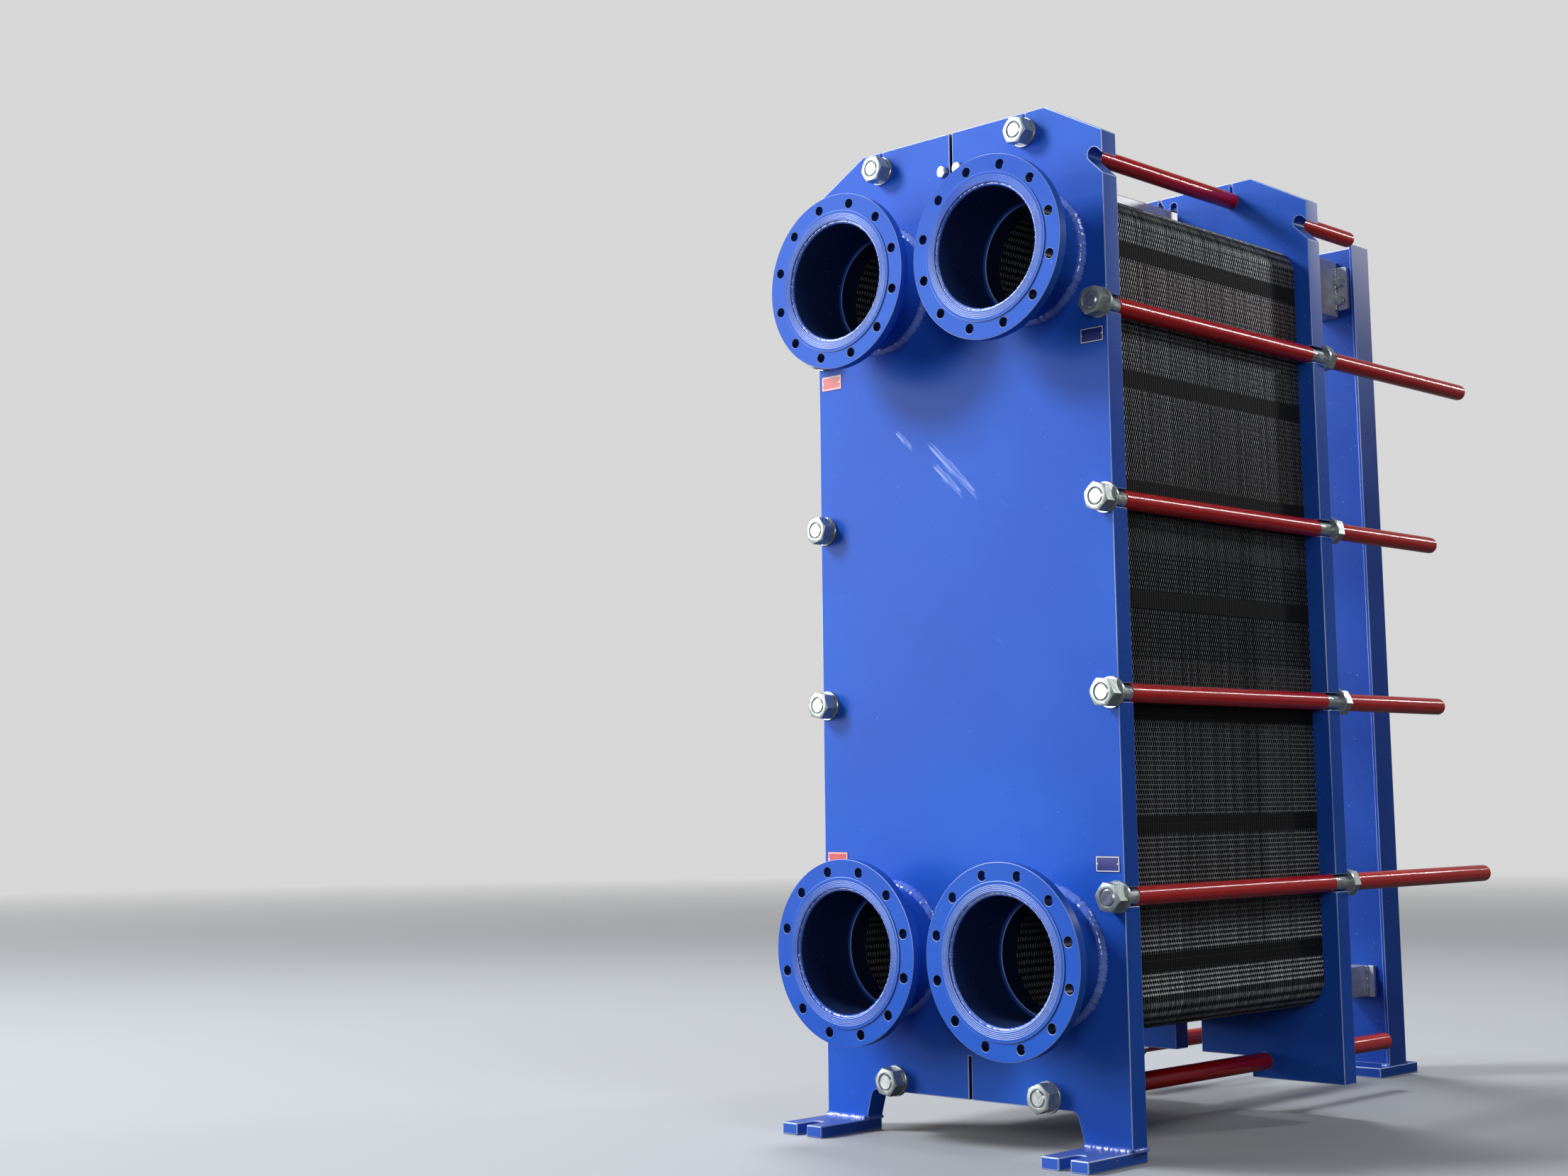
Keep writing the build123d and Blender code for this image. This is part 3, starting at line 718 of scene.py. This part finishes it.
channel, channel_wall = 125 * mm, 131 * mm
channel_gauge = 1.5 * mm  # twice the real sheet, so that the edges show at all in the dark bore
channel_steps, channel_sheets = 96, 60  # the sheets further in lie in the dark
channel_rows = []
for first, direction in ((0, 1), (1, -1)):
    bpy.ops.object.select_all(action="DESELECT")
    bpy.ops.mesh.primitive_circle_add(vertices=channel_steps, radius=channel,
                                      rotation=(math.pi / 2, 0, 0))
    ring = bpy.context.object
    bpy.ops.object.transform_apply(location=True, rotation=True, scale=True)
    for i, corner in enumerate(ring.data.vertices):
        corner.co.y = direction * (zigzag if i % 4 < 2 else -zigzag)
    # Their edges take the pale finish, painted light in the dark bore.
    give_rim(ring, channel_gauge, (0, 0, 0),
             (channel_wall / channel, 1, channel_wall / channel), channel_light_sheet)
    for centre in ports.values():
        row = stacked(ring, first, channel_sheets // 2)
        row.location.x, row.location.z = centre.x, centre.z
        channel_rows.append(row)
    bpy.data.objects.remove(ring)
finished(joined(channel_rows), "sheet_rims_in_channels", None, "sheet_steel", "plate_pack")

overlap, through = 1 * mm, 2  # the rims end 1 mm inside the core, and the cutters are 2 m long
bpy.ops.object.select_all(action="DESELECT")
bpy.ops.mesh.primitive_cube_add(size=1, location=((pack_low + pack_high) / 2))
core = bpy.context.object
core.scale = (wide - 2 * rim_depth + 2 * overlap, pack_high.y - pack_low.y - 1 * mm,
              tall - 2 * rim_depth + 2 * overlap)
bpy.ops.object.transform_apply(location=True, rotation=False, scale=True)
pick(core, "EDGE", lambda line: abs(edge_run(core, line).y) > long_run)
bpy.ops.mesh.bevel(offset=corner_radius - rim_depth, segments=corner_steps, affect="EDGES")
bpy.ops.object.mode_set(mode="OBJECT")
cutters = []
for centre in ports.values():
    bpy.ops.mesh.primitive_cylinder_add(vertices=80, radius=channel_wall, depth=through,
                                        rotation=(math.pi / 2, 0, 0),
                                        location=(centre.x, 0, centre.z))
    cutters.append(bpy.context.object)
bpy.ops.mesh.primitive_cube_add(size=1, location=(0, 0, pack_low.z - 0.5 + notch_top))
bar_notch = bpy.context.object
bar_notch.scale = (2 * notch_half, through, 1)
cutters.append(bar_notch)
opening = joined(cutters)
apply_modifier(core, "BOOLEAN", object=opening, operation="DIFFERENCE", solver="EXACT")
bpy.data.objects.remove(opening)
smooth(core)
finished(core, "gasket_core", rubber, "gasket_rubber", "plate_pack")


# Gasket clips. Each gasket's moulded rubber tabs wrap over the sheet's edge at seven
# heights, so that side by side they make black bands down the pack's two sides.
clip_low, clip_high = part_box("gasket_clips")
tab_thick, tab_tall, tab_gap, tab_edge = 6 * mm, 36 * mm, 0.5 * mm, 1.6 * mm
tab_rises = (-750, -469, -234.5, 0, 234.5, 469, 750)  # in mm, from the clips' middle height
tab_pitch = 2 * pitch
tab_count = int((clip_high.y - clip_low.y) / tab_pitch)
bpy.ops.object.select_all(action="DESELECT")
bpy.ops.mesh.primitive_cube_add(size=1)
tab = bpy.context.object
tab.scale = (tab_thick, tab_pitch - tab_gap, tab_tall)
bpy.ops.object.transform_apply(location=False, rotation=False, scale=True)
pick(tab, "EDGE", lambda line: abs(edge_run(tab, line).z) > 1 * mm
     and tab.data.vertices[line.vertices[0]].co.x > 0)
bpy.ops.mesh.bevel(offset=tab_edge, segments=1, affect="EDGES")
bpy.ops.object.mode_set(mode="OBJECT")
apply_modifier(tab, "ARRAY", count=tab_count, use_relative_offset=False,
               use_constant_offset=True, constant_offset_displace=(0, tab_pitch, 0))
bands = []
start_y = (clip_low.y + clip_high.y) / 2 - tab_pitch * (tab_count - 1) / 2
clip_middle = (clip_low.z + clip_high.z) / 2
for side in (-1, 1):
    for rise in tab_rises:
        band = copied_to(tab, (side * (clip_high.x - tab_thick / 2), start_y,
                               clip_middle + rise * mm))
        band.scale.x = side
        bands.append(band)
bpy.data.objects.remove(tab)
clips = joined(bands)
finished(clips, "gasket_clip_bands", rubber, "gasket_rubber", "gasket_clips")
select_only(clips)
bpy.ops.object.mode_set(mode="EDIT")
bpy.ops.mesh.select_all(action="SELECT")
bpy.ops.mesh.normals_make_consistent(inside=False)
bpy.ops.object.mode_set(mode="OBJECT")


# Carrying bar, guide bar and lugs. Solid drawn bars in thin dull grey paint, with drawing
# lines and brown stains. The lugs that take the carrying bar's screws at the column are
# welded on, and the weld is bare.
grey_paint = new_finish("thin_grey_paint_on_drawn_bar")
place = add_node(grey_paint, "TexCoord").outputs["Object"]
line_gap, line_length, stain_size = 9 * mm, 240 * mm, 35 * mm
along = add_node(grey_paint, "Mapping", {"Vector": place, "Scale": (1 / line_gap, 1 / line_length,
                                                                  1 / line_gap)})
drawn = add_node(grey_paint, "TexNoise", {"Vector": along.outputs[0], "Scale": 1, "Detail": 4})
tint = add_node(grey_paint, "Mix", {0: drawn.outputs[0], 6: linear("#A9ADB1"),
                                    7: linear("#D0D3D6")}, data_type="RGBA")
surface(grey_paint, {"Base Color": tint.outputs[2], "Metallic": 0.35, "Roughness": 0.36})
stain = add_node(grey_paint, "TexNoise", {"Vector": place, "Scale": 1 / stain_size, "Detail": 4})
spots = add_node(grey_paint, "MapRange", {0: stain.outputs[0], 1: 0.5, 2: 0.75, 3: 0, 4: 0.3})
lay_over(grey_paint, spots.outputs[0], "#5B4E45")
# The lugs are pale steel, drawn paler still than the bars as painted light.
lug_light_steel = zinc("flat_pale_steel_with_painted_light", "#B9BDC2", "#DFE2E5", 0.3, 0.5, 0.2)
for node_name, radius, coat in (("carrying_bar", 3 * mm, grey_paint),
                                ("guide_bar", 3 * mm, grey_paint),
                                ("bar_lugs", 1.5 * mm, lug_light_steel)):
    bar = carried_over(node_name)
    ease_edges(bar, radius)
    finished(bar, node_name + "_steel", coat, "bar_grey", node_name)
lug_low, lug_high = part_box("bar_lugs")
beads = []
for node_name, half_height in (("carrying_bar", 59 * mm), ("guide_bar", 40 * mm)):
    bar_low, bar_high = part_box(node_name)
    middle_z = (bar_low.z + bar_high.z) / 2
    for side in (-1, 1):
        beads.append(bead((side * bar_high.x, lug_low.y, middle_z - half_height),
                          (side * bar_high.x, lug_low.y, middle_z + half_height),
                          ((0, -1, 0), (side, 0, 0)), 2 * mm, 13 * mm, 4 * mm, 50 + side))
finished(joined(beads), "bar_lugs_weld", bright_zinc, "bar_grey")


# Support column. A rolled beam on a base plate, welded at its foot, under the same blue enamel as
# the plates, a little duller over the rough rolled surface. Its enamel is drawn darker, as painted
# shade.
column_shade_enamel = enamel("royal_blue_enamel_darkened_as_painted_shade_on_beam", "#19419C", "#2250AC", 0.36, 0.08)
for node_name, radius in (("support_column", 1.5 * mm), ("column_base", 2 * mm)):
    column = carried_over(node_name)
    add_finishes(column, column_shade_enamel, edge_highlight_enamel)
    # The rounded edges take the pale enamel, a painted highlight.
    ease_edges(column, radius, material=1)
    finished(column, node_name + "_steel", None, "blue_paint", node_name)
column_low, column_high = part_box("support_column")
base_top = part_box("column_base")[1].z
weld_length = 22 * mm
beads = []
for side in (-1, 1):
    for y, outward in ((column_low.y, -1), (column_high.y, 1)):
        beads.append(bead((side * (column_high.x - weld_length), y, base_top),
                          (side * column_high.x, y, base_top),
                          ((0, outward, 0), (0, 0, 1)), weld_stand, 11 * mm, 3.5 * mm, 60 + side))
finished(joined(beads), "column_base_weld", weld_glint_enamel, "blue_paint")


# Screws. Zinc-plated M16 hexagon screws, chamfered on the head: six through the frame plate
# into the bars' ends, and four through the lugs into the column.
across_head, head_height, shank_radius = 24 * mm, 10 * mm, 8 * mm
carrying_low, carrying_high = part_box("carrying_bar")
carrying_z = (carrying_low.z + carrying_high.z) / 2
guide_low, guide_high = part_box("guide_bar")
guide_z = (guide_low.z + guide_high.z) / 2
frame_places = [(x * mm, carrying_z + z * mm) for x in (-22, 22) for z in (-25, 25)]
frame_places += [(0, guide_z + z * mm) for z in (-20, 20)]
lug_screw_x = lug_high.x - 20 * mm
lug_places = [(side * lug_screw_x, carrying_z + z * mm) for side in (-1, 1) for z in (-33, 17)]
for node_name, places in (("frame_screws", frame_places), ("lug_screws", lug_places)):
    low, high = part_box(node_name)
    length = high.y - low.y
    head = hexagon(across_head, head_height, 1.4 * mm)
    smooth(head)
    shank = spun([(0, head_height - 1 * mm), (shank_radius, head_height - 1 * mm),
                  (shank_radius, length), (0, length)], (0, 0, 0), 20, closed=False)
    smooth(shank)
    screws = copies(joined([head, shank]), [(x, low.y, z) for x, z in places], unevenly=True)
    finished(screws, node_name + "_turned", bright_zinc, "zinc_steel", node_name)


# Label plates. Four small bare enamelled plates, two red and two blue, each with a bright
# border and two half-round rivets. They carry no words.
border_white = new_finish("white_enamel_border")
surface(border_white, {"Base Color": linear("#D8DBDD"), "Roughness": 0.35})
label_low, label_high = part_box("name_plates")
# The plates are less tall than their solids, and keep the solids' middles.
label_wide, label_tall, cad_tall = 60 * mm, 33 * mm, 40 * mm
thick = label_high.y - label_low.y
rivet_out = 25 * mm
for name, dark, light, side in (("red", "#B40C1A", "#C81826", -1),
                                ("blue", "#0E1668", "#1A2480", 1)):
    field = clouded(name + "_enamelled_label", dark, light, 18 * mm, 3, 0.3)
    plates = []
    for z in (label_low.z + cad_tall / 2, label_high.z - cad_tall / 2):
        x = side * (label_high.x - label_wide / 2)
        bpy.ops.object.select_all(action="DESELECT")
        bpy.ops.mesh.primitive_cube_add(size=1, location=(x, label_high.y - thick / 2, z))
        label = bpy.context.object
        label.scale = (label_wide, thick, label_tall)
        bpy.ops.object.transform_apply(location=False, rotation=False, scale=True)
        add_finishes(label, field, border_white, bright_zinc)
        pick(label, "FACE", lambda panel: panel.normal.y < -0.9)
        for margin, index in ((1.5 * mm, 1), (1.8 * mm, 0)):
            bpy.ops.mesh.inset(thickness=margin)
            label.active_material_index = index
            bpy.ops.object.material_slot_assign()
        bpy.ops.object.mode_set(mode="OBJECT")
        plates.append(label)
        for rivet_x in (x - rivet_out, x + rivet_out):
            rivet = spun([(0, -1 * mm), (1.4 * mm, -0.8 * mm), (2.2 * mm, 0),
                          (2.2 * mm, 0.5 * mm)], (rivet_x, label_low.y, z), 16, closed=False)
            add_finishes(rivet, bright_zinc)
            smooth(rivet)
            plates.append(rivet)
    finished(joined(plates), f"labels_{name}", None, "plate_blank", "name_plates")


# Studio: a plain pale floor, two strong soft lamps at the front left, weaker ones behind, at
# the right, at the front right and overhead, and a backdrop that is pale on the left and
# falls away to the right, as the real light does.
floor_paint = new_finish("plain_pale_floor")
floor_radius, fade_from = 15, 6
seen = add_node(floor_paint, "LightPath").outputs["Is Camera Ray"]
tone = add_node(floor_paint, "Mix", {0: seen, 6: linear("#34363A"), 7: linear("#ABAFB4")},
                data_type="RGBA")
place = add_node(floor_paint, "TexCoord").outputs["Object"]
reach = add_node(floor_paint, "VectorMath", {0: place}, operation="LENGTH")
fade = add_node(floor_paint, "MapRange", {0: reach.outputs["Value"], 1: fade_from,
                                          2: floor_radius, 3: 1, 4: 0})
surface(floor_paint, {"Base Color": tone.outputs[2], "Alpha": fade.outputs[0], "Roughness": 0.6})
bpy.ops.object.select_all(action="DESELECT")
bpy.ops.mesh.primitive_circle_add(vertices=96, radius=floor_radius, fill_type="NGON")
floor = bpy.context.object
floor.name = "floor"
add_finishes(floor, floor_paint)

world = bpy.data.worlds.new("pale_backdrop")
bpy.context.scene.world = world
world.use_nodes = True
ahead = add_node(world, "TexCoord").outputs["Generated"]
sides = add_node(world, "SeparateXYZ", {0: ahead})
fall = add_node(world, "MapRange", {0: sides.outputs[0], 1: -0.5, 2: 0.4, 3: 0.34, 4: 0.03},
                interpolation_type="SMOOTHSTEP")
glow_way = (0.553, 0.820, 0.148)  # a bright patch, which the part's right-hand faces mirror
toward = add_node(world, "VectorMath", {0: ahead, 1: glow_way}, operation="DOT_PRODUCT")
glow = add_node(world, "MapRange", {0: toward.outputs["Value"], 1: 0.92, 2: 0.985, 3: 0, 4: 0.3},
                interpolation_type="SMOOTHSTEP")
light = add_node(world, "Math", {0: fall.outputs[0], 1: glow.outputs[0]}, operation="ADD")
seen = add_node(world, "LightPath").outputs["Is Camera Ray"]
backdrop = add_node(world, "Mix", {0: seen, 2: light.outputs[0], 3: 0.68})
set_inputs(world, world.node_tree.nodes["Background"], {"Color": backdrop.outputs[0]})

target = Vector((0, 0, 1.1))
for name, toward, distance, size, power in (
        ("high_key_lamp", (-1, -1, 0.95), 11.0, 3.0, 1150),
        ("low_key_lamp", (-1, -1.1, 0.2), 11.0, 5.0, 560),
        ("back_lamp", (0.37, 0.83, 0.38), 8.0, 0.8, 140),
        ("side_lamp", (0.9, -0.3, 1), 8.0, 3.0, 145),
        ("fill_lamp", (0.6, -1, 0.15), 8.0, 2.0, 75),
        ("overhead_lamp", (-0.4, 0.25, 0.88), 6.0, 2.0, 220)):
    lamp = bpy.data.lights.new(name, "AREA")
    lamp.shape = "DISK"
    lamp.size = size
    lamp.energy = power
    holder = bpy.data.objects.new(name, lamp)
    bpy.context.scene.collection.objects.link(holder)
    holder.location = target + Vector(toward).normalized() * distance
    holder.rotation_euler = (target - holder.location).to_track_quat("-Z", "Y").to_euler()


# Camera: the photograph's own standpoint, low in front of the unit's right-hand edge. Its
# place, turn and lens were worked out from straight edges and circles of the photograph.
standpoint = (3.0701, -4.47046, 0.7282)
yaw, pitch_up, roll = (math.radians(a) for a in (44.37327518, 8.00366570, -0.56929148))
forward = Vector((-math.sin(yaw) * math.cos(pitch_up), math.cos(yaw) * math.cos(pitch_up),
                  math.sin(pitch_up)))
level_right = Vector((math.cos(yaw), math.sin(yaw), 0))
level_up = level_right.cross(forward)
right = math.cos(roll) * level_right + math.sin(roll) * level_up
up = -math.sin(roll) * level_right + math.cos(roll) * level_up
lens = bpy.data.cameras.new("camera")
lens.sensor_width = 36
lens.lens = 50.752
lens.shift_x, lens.shift_y = 0.00255, -0.06542
camera = bpy.data.objects.new("camera", lens)
bpy.context.scene.collection.objects.link(camera)
turn = Matrix((right, up, -forward)).transposed().to_4x4()
camera.matrix_world = Matrix.Translation(standpoint) @ turn
bpy.context.scene.camera = camera
bpy.context.scene.view_settings.view_transform = "Standard"
